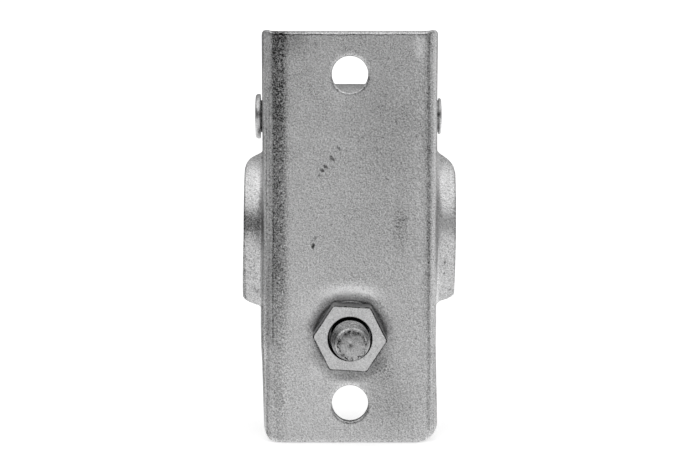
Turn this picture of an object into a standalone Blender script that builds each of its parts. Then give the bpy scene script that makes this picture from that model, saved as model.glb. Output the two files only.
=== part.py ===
"""Pressed scaffold half coupler for a 48.3 mm tube.

World frame, metres: X runs along the clamped tube, -Y is the flat back that is bolted to
something, +Y is the side of the hinged cap, Z is up. The origin is the centre of the tube.
"""

import math

import bmesh
import bpy
from mathutils import Matrix, Vector

COLLECTION = "scaffold_coupler_clamp"
CUTTERS = "cutters"

# Clearances
GAP = 0.0003
FLOAT_GAP = 0.00005
MERGE = 0.00001

# Tube and channel body
TUBE_SEAT_R = 0.0243
BODY_SHEET = 0.0035
BACK_Y = -0.039
HALF_WIDTH = 0.0299
TOP_Z = 0.0705
BOTTOM_Z = -0.0696
BEND_R = 0.008
BEND_STEPS = 6
FLANGE_STEPS = 3
BOTTOM_CORNER_R = 0.004
FIXING_Z = 0.056
FIXING_HOLE_R = 0.00615

# Flared saddle collar, as angles around the tube: 0 points back, positive is up
COLLAR_FILLET_R = 0.0024
COLLAR_LIP = 0.0067
COLLAR_FULL = (math.radians(-50), math.radians(54))
COLLAR_ENDS = (math.radians(-65.5), math.radians(84))
COLLAR_COLUMNS = 26
COLLAR_STEPS = 6

# Free edge of the side flanges: a round ear, then a straight run to the end of the channel
EAR_R = 0.0095
UPPER_EAR = (-0.004, 0.0399)
LOWER_EAR = (-0.0075, -0.0385)
UPPER_END_Y = -0.022
LOWER_END_Y = -0.024
EAR_START = math.radians(-78)
EAR_COLUMNS = 8

# Round dish pressed into the back, around the bolt
BOLT_Z = -0.0325
DISH_R = 0.0149
DISH_FLOOR_R = 0.0112
DISH_DEPTH = 0.0015
DISH_ROUND = 0.0005
DISH_STEPS = 40
BOLT_HOLE_R = 0.0076

# Hinge rivet
RIVET_R = 0.0053
RIVET_HOLE_R = 0.0056
RIVET_HEAD_R = 0.0079
RIVET_HEAD_T = 0.0029
RIVET_TAIL_R = 0.0063
RIVET_TAIL_T = 0.0018

# Hinged cap: one strip rolled round the rivet, over the tube and down to a fork
CAP_SHEET = 0.005
CAP_HALF_WIDTH = 0.025
CAP_SEAT_R = 0.0244
EYE_BORE_R = 0.0063
EYE_WRAP = math.radians(225)
NECK_R = 0.007
ARCH_END = math.radians(-45)
KNEE_R = 0.009
TAIL_END_Z = -0.0465
TAIL_END_HALF_WIDTH = 0.021
TAIL_CORNER_R = 0.005
FORK_HALF_WIDTH = 0.0076
FORK_END_Z = -0.0255

# Tee bolt, nut and washer
BOLT_R = 0.0069
BOLT_TIP_Y = -0.0576
BOLT_TIP_R = 0.0055
BOLT_TIP_CHAMFER = 0.0015
TEE_R = 0.0115
TEE_T = 0.007
TEE_EDGE = 0.001
NUT_ACROSS_FLATS = 0.022
NUT_T = 0.010
NUT_BORE_R = BOLT_R + GAP
NUT_TURN = math.radians(26.6)
NUT_CHAMFER_R = 0.0108
WASHER_R = 0.0107
WASHER_T = 0.0012

CAP_PIN = Vector((0.0, UPPER_EAR[0], UPPER_EAR[1]))


def clear_scene():
    for obj in list(bpy.data.objects):
        bpy.data.objects.remove(obj, do_unlink=True)


def new_collection(name):
    collection = bpy.data.collections.new(name)
    bpy.context.scene.collection.children.link(collection)
    return collection


def steel(name, colour, roughness):
    material = bpy.data.materials.new(name)
    material.use_nodes = True
    shader = material.node_tree.nodes["Principled BSDF"]
    shader.inputs["Base Color"].default_value = (*colour, 1.0)
    shader.inputs["Metallic"].default_value = 1.0
    shader.inputs["Roughness"].default_value = roughness
    return material


def add_object(name, bm, collection, material=None):
    mesh = bpy.data.meshes.new(name)
    bm.to_mesh(mesh)
    bm.free()
    mesh.shade_smooth()
    mesh.set_sharp_from_angle(angle=math.radians(35))
    obj = bpy.data.objects.new(name, mesh)
    collection.objects.link(obj)
    if material:
        mesh.materials.append(material)
    return obj


def hide_as_cutter(obj):
    obj.hide_render = True
    obj.display_type = "WIRE"
    return obj


def boolean(obj, other, operation):
    modifier = obj.modifiers.new(operation.lower() + "_" + other.name, "BOOLEAN")
    modifier.operation = operation
    modifier.solver = "EXACT"
    modifier.object = other


def shade_by_area(obj):
    """Keeps the large faces flat-looking beside narrow rims; it changes no geometry."""
    modifier = obj.modifiers.new("shading", "WEIGHTED_NORMAL")
    modifier.keep_sharp = True


def arc(centre, radius, start, end, steps):
    """Points (y, z) along an arc, both ends included."""
    angles = [start + (end - start) * i / steps for i in range(steps + 1)]
    return [(centre[0] + radius * math.cos(a), centre[1] + radius * math.sin(a)) for a in angles]


def sheet_from_columns(bm, columns):
    """Joins columns of points, each as long as the next, with a skin of quads."""
    rows = [[bm.verts.new(point) for point in column] for column in columns]
    for low, high in zip(rows, rows[1:]):
        for i in range(len(low) - 1):
            bm.faces.new((low[i], low[i + 1], high[i + 1], high[i]))


def turned(name, profile, collection, material, place, steps=32):
    """A body of revolution: (radius, height) points down the outer side, turned about the height."""
    bm = bmesh.new()
    points = [bm.verts.new((radius, 0.0, height)) for radius, height in profile]
    for a, b in zip(points, points[1:]):
        bm.edges.new((a, b))
    obj = add_object(name, bm, collection, material)
    screw = obj.modifiers.new("turn", "SCREW")
    screw.steps = steps
    screw.render_steps = steps
    screw.use_merge_vertices = True
    screw.merge_threshold = MERGE
    obj.matrix_world = place
    return obj


def along_x(location):
    return Matrix.Translation(location) @ Matrix.Rotation(math.radians(90), 4, "Y")


def along_back(location):
    """Height runs along -Y, out of the back."""
    return Matrix.Translation(location) @ Matrix.Rotation(math.radians(90), 4, "X")


def round_cutter(name, radius, length, place, collection, steps=32):
    bm = bmesh.new()
    bmesh.ops.create_cone(
        bm, cap_ends=True, segments=steps, radius1=radius, radius2=radius, depth=length
    )
    obj = add_object(name, bm, collection)
    obj.matrix_world = place
    return hide_as_cutter(obj)


def box_cutter(name, low, high, collection):
    bm = bmesh.new()
    bmesh.ops.create_cube(bm, size=1.0)
    size = [b - a for a, b in zip(low, high)]
    middle = [(a + b) / 2 for a, b in zip(low, high)]
    bmesh.ops.scale(bm, vec=size, verts=bm.verts)
    bmesh.ops.translate(bm, vec=middle, verts=bm.verts)
    return hide_as_cutter(add_object(name, bm, collection))


def bend_points(z, end_rise=0.0):
    """Half of the channel's section at one height: web and bend, from the middle outwards."""
    points = [Vector((0.0, BACK_Y, z))]
    centre_x = HALF_WIDTH - BEND_R
    for i in range(BEND_STEPS + 1):
        angle = math.pi / 2 * i / BEND_STEPS
        x = centre_x + BEND_R * math.sin(angle)
        y = BACK_Y + BEND_R * (1 - math.cos(angle))
        past = max(0.0, x - (HALF_WIDTH - BOTTOM_CORNER_R))
        rise = BOTTOM_CORNER_R - math.sqrt(max(0.0, BOTTOM_CORNER_R**2 - past**2))
        points.append(Vector((x, y, z + end_rise * rise)))
    return points


def flange_column(z, edge_y, end_rise=0.0):
    """One column of the outer face: web, bend and flat flange as far as its free edge."""
    points = bend_points(z, end_rise)
    start = points[-1]
    for i in range(1, FLANGE_STEPS + 1):
        y = start.y + (edge_y - start.y) * i / FLANGE_STEPS
        points.append(Vector((start.x, y, start.z)))
    return points


def collar_angles():
    """Angles of the collar's columns, closer together towards its two ends."""
    middle = (COLLAR_ENDS[0] + COLLAR_ENDS[1]) / 2
    half = (COLLAR_ENDS[1] - COLLAR_ENDS[0]) / 2
    steps = range(COLLAR_COLUMNS + 1)
    return [middle - half * math.cos(math.pi * i / COLLAR_COLUMNS) for i in steps]


def lip_reach(psi):
    """How far the collar stands out of the flange at one angle: full, easing to nothing at both ends."""
    for full, end in zip(COLLAR_FULL, COLLAR_ENDS):
        share = (end - psi) / (end - full)
        if share < 1:
            return COLLAR_LIP * (1 - math.cos(math.pi * max(0.0, share))) / 2
    return COLLAR_LIP


def collar_path(reach):
    """(radius, x) points over the fillet and out to the lip, evenly spaced along the path."""
    seat_back = TUBE_SEAT_R + BODY_SHEET
    arc_length = math.pi / 2 * COLLAR_FILLET_R
    if reach >= COLLAR_FILLET_R:
        total = arc_length + reach - COLLAR_FILLET_R
    else:
        total = COLLAR_FILLET_R * math.acos(1 - reach / COLLAR_FILLET_R)
    points = []
    for i in range(COLLAR_STEPS + 1):
        along = total * i / COLLAR_STEPS
        turn = min(along, arc_length) / COLLAR_FILLET_R
        radius = seat_back + COLLAR_FILLET_R * (1 - math.sin(turn))
        x = HALF_WIDTH + COLLAR_FILLET_R * (1 - math.cos(turn)) + max(0.0, along - arc_length)
        points.append((radius, x))
    return points


def ear_edge(ear, end_y, end_z):
    """(z, y) of the flange's free edge round an ear and straight on to the channel's end."""
    side = math.copysign(1, ear[1])
    run = Vector((side * (end_z - ear[1]), end_y - ear[0]))
    leave = math.atan2(run.x, run.y) - math.acos(EAR_R / run.length)
    edge = []
    for i in range(EAR_COLUMNS + 1):
        turn = EAR_START + (math.pi / 2 - leave - EAR_START) * i / EAR_COLUMNS
        edge.append((ear[1] + side * EAR_R * math.sin(turn), ear[0] + EAR_R * math.cos(turn)))
    middle = [(a + b) / 2 for a, b in zip(edge[-1], (end_z, end_y))]
    return edge + [tuple(middle), (end_z, end_y)]


def make_body(parts, cutters, material):
    bm = bmesh.new()
    collar_r = TUBE_SEAT_R + BODY_SHEET + COLLAR_FILLET_R
    angles = collar_angles()
    saddle = [flange_column(collar_r * math.sin(a), -collar_r * math.cos(a)) for a in angles]
    upper = [flange_column(z, y) for z, y in ear_edge(UPPER_EAR, UPPER_END_Y, TOP_Z)]
    lower_edge = ear_edge(LOWER_EAR, LOWER_END_Y, BOTTOM_Z)
    lower = [flange_column(z, y) for z, y in lower_edge[:-1]]
    lower.append(flange_column(*lower_edge[-1], end_rise=1.0))
    sheet_from_columns(bm, lower[::-1] + saddle + upper)
    collar = [
        [Vector((x, -r * math.cos(a), r * math.sin(a))) for r, x in collar_path(lip_reach(a))]
        for a in angles
    ]
    sheet_from_columns(bm, collar)
    bmesh.ops.remove_doubles(bm, verts=bm.verts, dist=MERGE)
    body = add_object("channel_body", bm, parts, material)
    mirror = body.modifiers.new("left_side", "MIRROR")
    mirror.merge_threshold = MERGE
    solidify = body.modifiers.new("sheet", "SOLIDIFY")
    solidify.thickness = BODY_SHEET
    solidify.offset = -1.0
    solidify.use_even_offset = True
    cut_body(body, cutters)
    shade_by_area(body)
    return body


def cut_body(body, cutters):
    bolt = Vector((0.0, BACK_Y, BOLT_Z))
    floor_in = DISH_DEPTH + BODY_SHEET
    boss_r = DISH_R + 0.6 * BODY_SHEET
    boss_floor_r = DISH_FLOOR_R + 0.6 * BODY_SHEET
    boss = [
        (0.0, -BODY_SHEET / 4),
        (boss_r, -BODY_SHEET / 4),
        (boss_r, -BODY_SHEET),
        (boss_floor_r + DISH_ROUND, DISH_ROUND - floor_in),
        (boss_floor_r, -floor_in),
        (0.0, -floor_in),
    ]
    recess = [
        (0.0, BODY_SHEET),
        (DISH_R + DISH_ROUND, BODY_SHEET),
        (DISH_R + DISH_ROUND, 0.0),
        (DISH_R, -DISH_ROUND),
        (DISH_FLOOR_R + DISH_ROUND, DISH_ROUND - DISH_DEPTH),
        (DISH_FLOOR_R, -DISH_DEPTH),
        (0.0, -DISH_DEPTH),
    ]
    place = along_back(bolt)
    for name, profile, operation in (
        ("dish_boss", boss, "UNION"),
        ("dish_recess", recess, "DIFFERENCE"),
    ):
        shape = turned(name, profile, cutters, None, place, DISH_STEPS)
        boolean(body, hide_as_cutter(shape), operation)
    depth = 6 * BODY_SHEET
    holes = (
        ("bolt_hole", BOLT_HOLE_R, BOLT_Z),
        ("upper_fixing_hole", FIXING_HOLE_R, FIXING_Z),
        ("lower_fixing_hole", FIXING_HOLE_R, -FIXING_Z),
    )
    for name, radius, z in holes:
        centre = Vector((0.0, BACK_Y, z))
        boolean(body, round_cutter(name, radius, depth, along_back(centre), cutters), "DIFFERENCE")
    pin = along_x(CAP_PIN)
    rivet_hole = round_cutter("rivet_hole", RIVET_HOLE_R, 4 * HALF_WIDTH, pin, cutters)
    boolean(body, rivet_hole, "DIFFERENCE")


def cap_centreline():
    """(y, z) along the strip's tube side, from the end of the rolled eye to the tip of the tail."""
    pin = (CAP_PIN.y, CAP_PIN.z)
    pin_distance = math.hypot(*pin)
    pin_angle = math.atan2(pin[1], pin[0])
    to_neck = CAP_SEAT_R + NECK_R
    eye_to_neck = EYE_BORE_R + NECK_R
    spread = (to_neck**2 + pin_distance**2 - eye_to_neck**2) / (2 * to_neck * pin_distance)
    arch_start = pin_angle - math.acos(spread)
    neck = (to_neck * math.cos(arch_start), to_neck * math.sin(arch_start))
    leave_eye = math.atan2(neck[1] - pin[1], neck[0] - pin[0])
    eye = arc(pin, EYE_BORE_R, EYE_WRAP, leave_eye, 20)
    neck_arc = arc(neck, NECK_R, leave_eye + math.pi, arch_start + math.pi, 8)
    arch = arc((0.0, 0.0), CAP_SEAT_R, arch_start, ARCH_END, 20)
    knee_distance = CAP_SEAT_R + KNEE_R
    knee = (knee_distance * math.cos(ARCH_END), knee_distance * math.sin(ARCH_END))
    knee_arc = arc(knee, KNEE_R, ARCH_END + math.pi, math.pi, 5)
    tail_y = knee[0] - KNEE_R
    corner = arc((0.0, 0.0), TAIL_CORNER_R, 0.0, math.pi / 2, 5)
    tail = [(tail_y, TAIL_END_Z + TAIL_CORNER_R - z) for y, z in corner]
    return eye + neck_arc[1:] + arch[1:] + knee_arc[1:] + tail


def cap_half_width(z, in_front):
    """The strip keeps its width down to the bolt, then its tail narrows and has round corners."""
    taper_top = BOLT_Z / 2
    if z > taper_top or not in_front:
        return CAP_HALF_WIDTH
    share = (taper_top - z) / (taper_top - TAIL_END_Z)
    width = CAP_HALF_WIDTH + (TAIL_END_HALF_WIDTH - CAP_HALF_WIDTH) * share
    past = max(0.0, TAIL_END_Z + TAIL_CORNER_R - z)
    return width - TAIL_CORNER_R + math.sqrt(max(0.0, TAIL_CORNER_R**2 - past**2))


def make_cap(parts, cutters, material):
    bm = bmesh.new()
    columns = []
    for y, z in cap_centreline():
        half = cap_half_width(z, y > 0)
        columns.append([Vector((x, y, z)) for x in (half, 0.0, -half)])
    sheet_from_columns(bm, columns)
    cap = add_object("hinged_cap", bm, parts, material)
    solidify = cap.modifiers.new("strip", "SOLIDIFY")
    solidify.thickness = CAP_SHEET
    solidify.offset = -1.0
    solidify.use_even_offset = True
    boolean(cap, fork_cutter(cutters), "DIFFERENCE")
    shade_by_area(cap)
    return cap


def fork_cutter(cutters):
    """A round-ended slot, open at the bottom: a cylinder whose lower half is drawn down."""
    bm = bmesh.new()
    depth = 4 * CAP_SEAT_R
    bmesh.ops.create_cone(
        bm,
        cap_ends=True,
        segments=32,
        radius1=FORK_HALF_WIDTH,
        radius2=FORK_HALF_WIDTH,
        depth=depth,
        matrix=along_back(Vector((0.0, depth / 2, FORK_END_Z))),
    )
    for vert in bm.verts:
        if vert.co.z < FORK_END_Z - FLOAT_GAP:
            vert.co.z += 2 * TAIL_END_Z
    return hide_as_cutter(add_object("fork_slot", bm, cutters))


def dome(radius, thickness, base, steps=6):
    """(radius, height) of a low round head, from its middle out to its base."""
    rim = min(thickness, radius) * 0.55
    points = [(0.0, base + thickness)]
    for i in range(steps + 1):
        turn = math.pi / 2 * i / steps
        height = base + thickness - rim * (1 - math.cos(turn))
        points.append((radius - rim + rim * math.sin(turn), height))
    return points + [(radius, base)]


def make_rivet(parts, material):
    outer = HALF_WIDTH + GAP
    head = dome(RIVET_TAIL_R, RIVET_TAIL_T, outer)
    foot = dome(RIVET_HEAD_R, RIVET_HEAD_T, outer)
    profile = head + [(RIVET_R, outer), (RIVET_R, -outer)]
    profile += [(radius, -height) for radius, height in reversed(foot)]
    return turned("hinge_rivet", profile, parts, material, along_x(CAP_PIN))


def tail_face_y():
    """Front face of the cap's tail."""
    return (CAP_SEAT_R + KNEE_R) * math.cos(ARCH_END) - KNEE_R + CAP_SHEET


def make_bolt(parts, cutters, material):
    head_y = tail_face_y() + GAP
    front_y = head_y + TEE_T
    profile = [
        (0.0, -BOLT_TIP_Y),
        (BOLT_TIP_R, -BOLT_TIP_Y),
        (BOLT_R, -BOLT_TIP_Y - BOLT_TIP_CHAMFER),
        (BOLT_R, -head_y),
        (TEE_R, -head_y),
        (TEE_R, TEE_EDGE - front_y),
        (TEE_R - TEE_EDGE, -front_y),
        (0.0, -front_y),
    ]
    place = along_back(Vector((0.0, 0.0, BOLT_Z)))
    bolt = turned("tee_bolt", profile, parts, material, place)
    flat_x = BOLT_R + FLOAT_GAP
    past = 2 * TEE_R
    for side in (-1, 1):
        near, far = sorted((side * flat_x, side * past))
        low = (near, head_y - TEE_T / 2, BOLT_Z - past)
        high = (far, front_y + TEE_T / 2, BOLT_Z + past)
        name = "tee_flat_right" if side > 0 else "tee_flat_left"
        boolean(bolt, box_cutter(name, low, high, cutters), "DIFFERENCE")
    return bolt


def dish_floor_y():
    return BACK_Y + DISH_DEPTH


def make_washer(parts, cutters, material):
    back = -dish_floor_y() + GAP
    profile = [(0.0, back + WASHER_T), (WASHER_R, back + WASHER_T), (WASHER_R, back), (0.0, back)]
    place = along_back(Vector((0.0, 0.0, BOLT_Z)))
    washer = turned("seat_washer", profile, parts, material, place)
    hole = round_cutter("washer_hole", NUT_BORE_R, 4 * NUT_T, bore_place(), cutters)
    boolean(washer, hole, "DIFFERENCE")
    return washer


def bore_place():
    return along_back(Vector((0.0, BACK_Y, BOLT_Z)))


def make_nut(parts, cutters, material):
    near = -dish_floor_y() + GAP + WASHER_T + GAP
    corner_r = NUT_ACROSS_FLATS / 2 / math.cos(math.pi / 6)
    drop = (corner_r - NUT_CHAMFER_R) * math.tan(math.radians(30))
    bm = bmesh.new()
    bmesh.ops.create_cone(
        bm, cap_ends=True, segments=6, radius1=corner_r, radius2=corner_r, depth=NUT_T
    )
    nut = add_object("bolt_nut", bm, parts, material)
    middle = Vector((0.0, -near - NUT_T / 2, BOLT_Z))
    nut.matrix_world = along_back(middle) @ Matrix.Rotation(NUT_TURN, 4, "Z")
    half = NUT_T / 2
    wide = 1.2 * corner_r
    fall = (wide - NUT_CHAMFER_R) * math.tan(math.radians(30))
    lens = [
        (0.0, half + drop / 4),
        (NUT_CHAMFER_R, half + drop / 4),
        (NUT_CHAMFER_R, half),
        (wide, half - fall),
        (wide, fall - half),
        (NUT_CHAMFER_R, -half),
        (NUT_CHAMFER_R, -half - drop / 4),
        (0.0, -half - drop / 4),
    ]
    chamfer = turned("nut_chamfer", lens, cutters, None, along_back(middle), 48)
    boolean(nut, hide_as_cutter(chamfer), "INTERSECT")
    bore = round_cutter("nut_bore", NUT_BORE_R, 4 * NUT_T, bore_place(), cutters)
    boolean(nut, bore, "DIFFERENCE")
    return nut


def main():
    clear_scene()
    parts = new_collection(COLLECTION)
    cutters = new_collection(CUTTERS)
    make_body(parts, cutters, steel("zinc_sheet", (0.42, 0.42, 0.41), 0.42))
    make_cap(parts, cutters, steel("zinc_strip", (0.44, 0.44, 0.43), 0.4))
    make_rivet(parts, steel("zinc_rivet", (0.46, 0.46, 0.45), 0.35))
    make_bolt(parts, cutters, steel("zinc_bolt", (0.4, 0.4, 0.39), 0.38))
    make_washer(parts, cutters, steel("zinc_washer", (0.4, 0.4, 0.39), 0.4))
    make_nut(parts, cutters, steel("zinc_nut", (0.5, 0.5, 0.49), 0.36))


main()
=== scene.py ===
"""Finished look of the pressed scaffold half coupler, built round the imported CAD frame.

Metres. X runs along the clamped tube, -Y is the flat back, +Y the hinged cap, Z is up.
The origin is the centre of the tube.
"""

import math

import bmesh
import bpy
import numpy as np
from mathutils import Matrix, Vector


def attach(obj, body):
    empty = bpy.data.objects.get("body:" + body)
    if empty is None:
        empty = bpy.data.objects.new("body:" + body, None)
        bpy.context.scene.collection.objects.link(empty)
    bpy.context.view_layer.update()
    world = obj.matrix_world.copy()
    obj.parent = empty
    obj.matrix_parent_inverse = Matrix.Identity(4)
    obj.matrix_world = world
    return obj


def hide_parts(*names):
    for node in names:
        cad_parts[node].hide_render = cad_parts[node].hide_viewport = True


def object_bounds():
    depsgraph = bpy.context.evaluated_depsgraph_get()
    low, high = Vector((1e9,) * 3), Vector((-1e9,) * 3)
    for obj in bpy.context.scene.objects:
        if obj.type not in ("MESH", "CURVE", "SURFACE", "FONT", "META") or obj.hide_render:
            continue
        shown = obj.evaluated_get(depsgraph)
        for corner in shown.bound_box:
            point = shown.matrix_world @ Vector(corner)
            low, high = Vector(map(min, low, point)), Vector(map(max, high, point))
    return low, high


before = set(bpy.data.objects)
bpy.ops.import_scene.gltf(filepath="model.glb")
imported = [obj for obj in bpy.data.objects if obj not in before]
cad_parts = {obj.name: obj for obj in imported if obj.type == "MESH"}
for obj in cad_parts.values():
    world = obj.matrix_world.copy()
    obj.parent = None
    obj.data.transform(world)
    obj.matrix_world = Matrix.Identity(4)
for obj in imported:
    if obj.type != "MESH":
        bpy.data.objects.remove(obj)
CAD_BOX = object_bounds()
MM = 0.001

# Channel body
SHEET = 3.5 * MM
BACK_Y = -39.0 * MM
HALF_WIDTH = 29.9 * MM
TOP_Z = 70.5 * MM
RIM_Z = 69.6 * MM
BOTTOM_Z = -69.6 * MM
BEND_R = 8.0 * MM
SEAT_R = 24.3 * MM
FIXING_Z = 56.0 * MM
FIXING_R = 6.15 * MM
BOTTOM_CORNER_R = 4.0 * MM
TOP_CORNER_R = 0.8 * MM
CORNER_FADE = 10.0 * MM

# Flared collar of the saddle, as angles round the tube from -Y, positive upwards
COLLAR_FILLET_R = 2.4 * MM
COLLAR_LIP = 6.7 * MM
COLLAR_LEAN = 0.5 * MM
# Share of the collar's full reach at angles round the tube, in degrees: (right side, left side)
COLLAR_ANGLES = (-65.5, -62.5, -59.5, -57, -54, -51, 50, 56, 60, 65.5, 71.5, 76.5, 79, 82)
COLLAR_SHARES = (
    (0.0, 0.10, 0.33, 0.60, 0.87, 1.0, 1.0, 0.96, 0.89, 0.74, 0.52, 0.30, 0.20, 0.0),
    (0.0, 0.12, 0.37, 0.64, 0.90, 1.0, 1.0, 0.99, 0.96, 0.86, 0.66, 0.36, 0.14, 0.0),
)

# Free edge of the flanges
EAR_R = 9.5 * MM
EAR_START = math.radians(-78)
UPPER_EAR = (-4.0 * MM, 39.9 * MM)
LOWER_EAR = (-7.5 * MM, -38.5 * MM)
UPPER_END_Y = -22.0 * MM
LOWER_END_Y = -24.0 * MM

# Bolt, dish, washer and nut
BOLT_Z = -32.5 * MM
BOLT_HOLE_R = 7.6 * MM
SEAT_EDGES = (10.8 * MM, 11.5 * MM)
SEAT_STEP = 1.0 * MM
DISH_EDGES = (10.5 * MM, 16.5 * MM)
DISH_DEPTH = 1.5 * MM
BOLT_R = 6.9 * MM
CREST_R = 6.5 * MM
THREAD_PITCH = 2.0 * MM
THREAD_DEPTH = 1.15 * MM
THREAD_END_Y = -18.0 * MM
BOLT_TIP_Y = -57.6 * MM
BOLT_TIP_R = 5.15 * MM
TIP_TAPER = 0.26
TIP_SHIFT = (0.70 * MM, -1.10 * MM)
TIP_LEAN_FROM = 48.5 * MM
TEE_R = 11.5 * MM
TEE_T = 7.0 * MM
WASHER_R = 10.7 * MM
WASHER_T = 1.2 * MM
GAP = 0.3 * MM
NUT_ACROSS_FLATS = 22.0 * MM
NUT_T = 10.0 * MM
NUT_TURN = math.radians(26.6)
NUT_CHAMFER_R = 12.45 * MM
COUNTERSINK = 0.35 * MM

# Rivet and cap
RIVET_R = 5.3 * MM
RIVET_HOLE_R = 5.6 * MM
RIVET_HEAD = (7.8 * MM, 2.9 * MM, 1.0 * MM)
RIVET_TAIL = (6.3 * MM, 1.8 * MM, 0.6 * MM)
CAP_SHEET = 5.0 * MM
CAP_HALF_WIDTH = 25.0 * MM
CAP_SEAT_R = 24.4 * MM
EYE_BORE_R = 6.3 * MM
EYE_WRAP = math.radians(225)
NECK_R = 7.0 * MM
ARCH_END = math.radians(-45)
KNEE_R = 9.0 * MM
TAIL_END_Z = -46.5 * MM
TAIL_END_HALF_WIDTH = 21.0 * MM
TAIL_CORNER_R = 5.0 * MM
FORK_HALF_WIDTH = 7.6 * MM
FORK_END_Z = -25.5 * MM

# Fineness of the surfaces
VOXEL = 0.45 * MM
CAP_VOXEL = 0.5 * MM
MERGE = 0.01 * MM
WEB_STEPS = 36
BEND_STEPS = 14
FLANGE_STEPS = 18
EAR_STEPS = 42
EDGE_STEPS = 30
COLLAR_STEPS = 20
COLLAR_COLUMNS = 120
EYE_STEPS = 60
NECK_STEPS = 20
ARCH_STEPS = 70
KNEE_STEPS = 12
TAIL_STEPS = 40
STRIP_HALF_STEPS = 12
SHANK_ROWS = 12
THREAD_ROWS = 210
NUT_STEPS = 288
NUT_BORE_ROWS = 22

# Half width of the pressed channel at several heights, in mm, on each side: the flanges aren't parallel
HEIGHTS = (-70, -64, -57, -50, -43, -37, -30, -18, 0, 20, 45, 71)
LEFT_HALF = (29.35, 29.5, 29.75, 29.95, 30.15, 30.5, 30.6, 30.5, 29.9, 29.8, 29.85, 30.0)
RIGHT_HALF = (29.5, 29.9, 29.85, 29.65, 29.55, 29.4, 29.55, 29.5, 29.7, 29.8, 29.65, 29.9)

# Marks of the press on the channel
COLLAR_DROP = 1.3 * MM
RIM_ROLL = 0.65 * MM
FOLD_AT = (-31.3 * MM, -20.5 * MM)
FOLD_TURN = (0.9, 0.42)
FOLD_STRETCH = 0.22
FOLD_DEPTH = 0.7 * MM
FOLD_WIDTH = 0.7 * MM
CORNER_LIFT = 0.3 * MM
FOOT_LIFT = 1.1 * MM

# Marks of the tool that spread the bolt's end: angle round its rim in degrees, strength
TIP_DENTS = ((20, 0.5), (75, 0.8), (118, 0.9), (160, 0.7), (214, 0.8), (262, 0.5), (318, 0.9))
DENT_DEPTH = 0.28 * MM
NICK_DEPTH = 0.2 * MM
TIP_CROWN = 0.25 * MM
TIP_RINGS = (0.97, 0.92, 0.85, 0.77, 0.68, 0.58, 0.47, 0.36, 0.25, 0.14, 0.05)

# Finish of each slot: tone, roughness, grain in mm, strength of the relief, strength of the mottling
FINISHES = {
    "zinc_sheet": (0.62, 0.34, 0.8, 2.0, 1.0),
    "zinc_strip": (0.46, 0.38, 0.8, 2.0, 1.0),
    "zinc_rivet": (0.60, 0.30, 0.6, 0.8, 0.5),
    "zinc_bolt": (0.60, 0.30, 0.5, 0.8, 0.6),
    "zinc_washer": (0.5, 0.36, 0.6, 0.8, 0.6),
    "zinc_nut": (0.70, 0.32, 0.7, 0.5, 0.5),
}

# Zinc: sizes of its grain, depth of its relief, and how the draw lines are stretched
GRAIN_SHIFT = (0.16 * MM, 0.1 * MM, 0.2 * MM)
FINE_GRAIN = 0.42 * MM
CLOUD_SIZE = 9 * MM
PIT_SIZE = 1.1 * MM
RELIEF = 0.030 * MM
LINE_STRETCH = (900.0, 600.0, 9.0)
WAVER_STRETCH = (60.0, 60.0, 70.0)
SCUFF_DEPTH = 1.5 * MM

# Coarse mottling on the left collar, and two rubbed patches of the back: centre, half sizes, softness
WING_AT = (-33.5 * MM, -27 * MM, 3.5 * MM)
WING_RADII = (6 * MM, 9 * MM, 6 * MM)
PATCHES = (
    ((17.0 * MM, BACK_Y, 5.0 * MM), (4.0 * MM, 2 * MM, 13 * MM), 0.2),
    ((10.5 * MM, BACK_Y, -45.0 * MM), (8 * MM, 3 * MM, 7 * MM), 0.1),
)

# Painted light and shade on the sheet, and lighter and darker areas of its tone, in mm: centre X, Y, Z,
# half sizes, share that is even, gain
LIGHT_AND_TONE_PATCHES = (
    (-12, -39, -50, 22, 6, 34, 0.0, 0.10),
    (13, -39, 38, 20, 6, 32, 0.0, -0.17),
    (14, -39, -56, 13, 6, 16, 0.0, -0.20),
    (8, -39, 2, 22, 6, 24, 0.0, -0.08),
    (-19, -39, 68, 9, 6, 9, 0.0, -0.35),
    # Painted highlight on the dish's upper wall
    (0, -38, -18.0, 15, 6, 5.0, 0.3, 0.40),
    # Painted light on the upper part of the left collar
    (-33, -14, 19, 5, 14, 9, 0.3, 0.30),
    (-30.3, -14, 26, 1.0, 16, 0.6, 0.2, -0.7),
    (32.6, -27, -9, 0.5, 16, 1.3, 0.2, -0.55),
    (32.4, -26, -13, 0.4, 16, 0.8, 0.2, -0.55),
    (34.4, -24, -19.2, 1.0, 16, 0.7, 0.1, -0.6),
    # Painted shade in the hollow of the fold, along its line
    (-31.8, -24, -19.6, 0.6, 16, 1.2, 0.2, -0.5),
    (-31.0, -23, -21.4, 0.5, 16, 1.2, 0.2, -0.5),
    (-30.2, -22, -23.2, 0.4, 16, 1.2, 0.2, -0.5),
    # Painted light on the upper part of the right collar
    (33, -14, 19, 5, 14, 9, 0.3, 0.18),
    # Painted highlight on the dish's upper wall
    (0, -38, -19, 15, 6, 4.0, 0.0, 0.25),
    (-15, -39, -20, 12, 6, 22, 0.0, 0.07),
    (-3, -39, 52, 9, 6, 8, 0.0, 0.16),
    (-2, -39, -56, 9.5, 6, 9.5, 0.0, 0.14),
    (-13, -39, -24, 9, 6, 9, 0.0, 0.12),
    # Painted highlight on the dish's lower left wall
    (-11, -39, -45, 5, 6, 6, 0.0, 0.16),
    # Painted highlight on the strip between the dish and the lower hole
    (-1, -39, -49.5, 9, 6, 2.4, 0.0, 0.24),
    (23.5, -38, 65, 3.5, 6, 7, 0.0, 0.35),
    # Painted light on the right collar, fainter lower down
    (33, -27, 5, 6, 12, 8, 0.2, 0.42),
    (33, -20, -16, 6, 12, 8, 0.0, 0.12),
    # Painted shade inside the lower hole
    (0, -37, -56, 6.3, 50, 6.3, 0.96, -0.35),
)

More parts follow.
